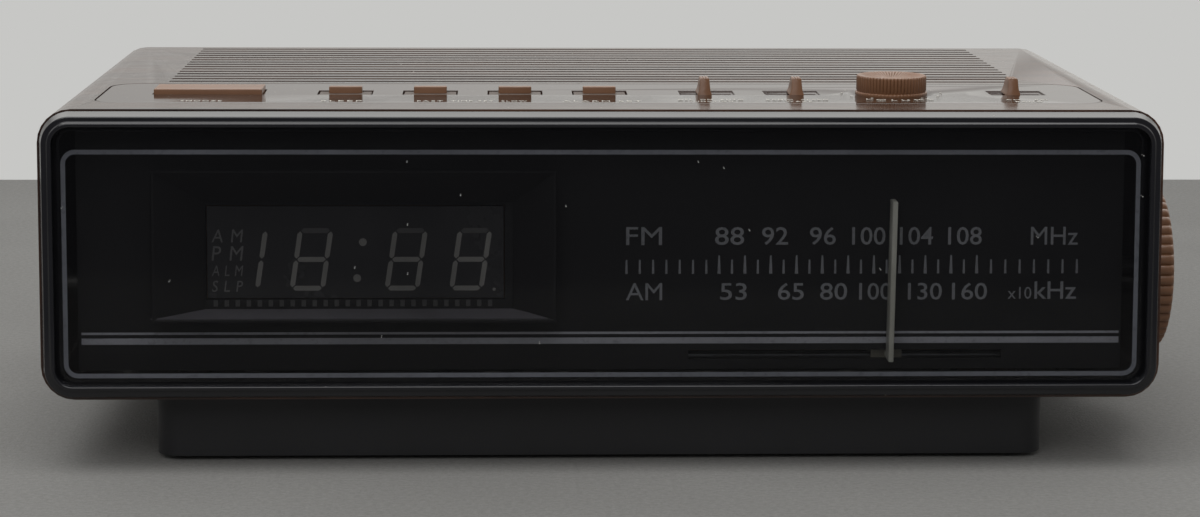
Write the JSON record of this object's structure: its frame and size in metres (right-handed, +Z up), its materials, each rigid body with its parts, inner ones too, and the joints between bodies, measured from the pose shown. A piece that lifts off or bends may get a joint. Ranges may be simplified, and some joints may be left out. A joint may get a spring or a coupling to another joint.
{
  "type": "alarm clock radio",
  "caption": "Tabletop AM/FM digital alarm clock radio: wood-look case, smoked front with clock display and tuning dial, keys and knobs on top, tuning knob on the side.",
  "frame": {"origin": "bottom centre of the whole object's box, on the table under the feet", "axes": "+X to the right seen from the front, +Y to the back, +Z up"},
  "size_m": [0.2924, 0.17, 0.097],
  "materials": {
    "wood_cabinet": "simulated-wood film over moulded plastic, satin-gloss",
    "gloss_black": "polished black plastic",
    "matte_black": "fine-textured black plastic",
    "smoked_window": "smoked clear plastic, polished",
    "panel_brown": "glossy dark-brown plastic with white printing",
    "key_brown": "satin brown plastic",
    "off_white": "ivory plastic",
    "grey_plastic": "moulded grey plastic",
    "board": "phenolic circuit board",
    "steel": "plain steel",
    "dark_steel": "dark painted or plated steel",
    "copper": "enamelled copper wire",
    "rubber": "black rubber",
    "paper": "dark speaker paper",
    "lamp_glass": "clear glass"
  },
  "bodies": {
    "case": {"cabinet": "wood_cabinet", "front_bezel": "gloss_black", "front_window": "smoked_window", "display_housing": "matte_black", "display_panel": "gloss_black", "clock_board": "board", "dial_backplate": "matte_black", "pointer_rail": "steel", "dial_cord": "paper", "dial_lamp": "lamp_glass", "tuning_capacitor": "grey_plastic", "control_panel": "panel_brown", "snooze_switch": "grey_plastic", "sleep_switch": "grey_plastic", "fast_switch": "grey_plastic", "slow_switch": "grey_plastic", "alarm_switch": "grey_plastic", "function_switch": "grey_plastic", "alarm_mode_switch": "grey_plastic", "band_switch": "grey_plastic", "volume_control": "dark_steel", "switch_board": "board", "speaker_basket": "dark_steel", "speaker_cone": "paper", "speaker_magnet": "dark_steel", "main_board": "board", "smoothing_capacitor": "dark_steel", "ferrite_rod": "dark_steel", "antenna_coil": "copper", "power_transformer": "dark_steel", "base_tray": "matte_black", "rear_cover": "matte_black", "cord_gland": "rubber", "case_screw_front_left": "steel", "rubber_foot_front_left": "rubber", "case_screw_front_right": "steel", "rubber_foot_front_right": "rubber", "case_screw_rear_left": "steel", "rubber_foot_rear_left": "rubber", "case_screw_rear_right": "steel", "rubber_foot_rear_right": "rubber"},
    "tuning": {"tuning_knob": "key_brown", "tuning_shaft": "steel", "tuning_drum": "off_white"},
    "pointer": {"dial_pointer": "off_white", "pointer_carriage": "off_white"},
    "pulley_lower_right": {"pulley_lower_right": "off_white"},
    "pulley_upper_right": {"pulley_upper_right": "off_white"},
    "pulley_lower_left": {"pulley_lower_left": "off_white"},
    "pulley_upper_left": {"pulley_upper_left": "off_white"},
    "volume": {"volume_knob": "key_brown", "volume_shaft": "steel"},
    "snooze_key": {"snooze_bar": "key_brown"},
    "sleep_key": {"sleep_button": "key_brown"},
    "fast_key": {"fast_button": "key_brown"},
    "slow_key": {"slow_button": "key_brown"},
    "alarm_key": {"alarm_button": "key_brown"},
    "function_slide": {"function_slider": "key_brown"},
    "alarm_mode_slide": {"alarm_mode_slider": "key_brown"},
    "band_slide": {"band_slider": "key_brown"}
  },
  "joints": [
    {"name": "snooze_press", "type": "slide", "parent": "case", "child": "snooze_key", "axis": [0, 0, -1], "range_m": [0, 0.0012], "stiffness_N_per_m": 500, "springref_m": -0.0015},
    {"name": "sleep_press", "type": "slide", "parent": "case", "child": "sleep_key", "axis": [0, 0, -1], "range_m": [0, 0.0012], "stiffness_N_per_m": 400, "springref_m": -0.0015},
    {"name": "fast_press", "type": "slide", "parent": "case", "child": "fast_key", "axis": [0, 0, -1], "range_m": [0, 0.0012], "stiffness_N_per_m": 400, "springref_m": -0.0015},
    {"name": "slow_press", "type": "slide", "parent": "case", "child": "slow_key", "axis": [0, 0, -1], "range_m": [0, 0.0012], "stiffness_N_per_m": 400, "springref_m": -0.0015},
    {"name": "alarm_press", "type": "slide", "parent": "case", "child": "alarm_key", "axis": [0, 0, -1], "range_m": [0, 0.0012], "stiffness_N_per_m": 400, "springref_m": -0.0015},
    {"name": "function_select", "type": "slide", "parent": "case", "child": "function_slide", "axis": [1, 0, 0], "range_m": [-0.00425, 0.00565]},
    {"name": "alarm_mode_select", "type": "slide", "parent": "case", "child": "alarm_mode_slide", "axis": [1, 0, 0], "range_m": [-0.00605, 0.00385]},
    {"name": "band_select", "type": "slide", "parent": "case", "child": "band_slide", "axis": [1, 0, 0], "range_m": [-0.00365, 0.00625]},
    {"name": "volume_turn", "type": "hinge", "parent": "case", "child": "volume", "pos_m": [0.07385, -0.04001, 0.092], "axis": [0, 0, 1], "range_deg": [-150, 150]},
    {"name": "tuning_turn", "type": "hinge", "parent": "case", "child": "tuning", "pos_m": [0.13875, -0.04201, 0.0455], "axis": [1, 0, 0], "range_deg": [-58, 114]},
    {"name": "pointer_travel", "type": "slide", "parent": "case", "child": "pointer", "axis": [1, 0, 0], "range_m": [-0.04397, 0.02247]},
    {"name": "pulley_lower_right_turn", "type": "hinge", "parent": "case", "child": "pulley_lower_right", "pos_m": [0.11305, -0.06401, 0.0312], "axis": [0, 1, 0], "range_deg": [-309, 603]},
    {"name": "pulley_upper_right_turn", "type": "hinge", "parent": "case", "child": "pulley_upper_right", "pos_m": [0.11505, -0.06401, 0.0618], "axis": [0, 1, 0], "range_deg": [-309, 603]},
    {"name": "pulley_lower_left_turn", "type": "hinge", "parent": "case", "child": "pulley_lower_left", "pos_m": [0.0088, -0.06401, 0.0312], "axis": [0, 1, 0], "range_deg": [-309, 603]},
    {"name": "pulley_upper_left_turn", "type": "hinge", "parent": "case", "child": "pulley_upper_left", "pos_m": [0.0088, -0.06401, 0.0618], "axis": [0, 1, 0], "range_deg": [-309, 603]}
  ],
  "couplings": [
    {"joint": "pointer_travel", "follows": "tuning_turn", "m_per_rad": -0.022},
    {"joint": "pulley_lower_right_turn", "follows": "tuning_turn", "ratio": 5.2381},
    {"joint": "pulley_upper_right_turn", "follows": "tuning_turn", "ratio": 5.2381},
    {"joint": "pulley_lower_left_turn", "follows": "tuning_turn", "ratio": 5.2381},
    {"joint": "pulley_upper_left_turn", "follows": "tuning_turn", "ratio": 5.2381}
  ]
}
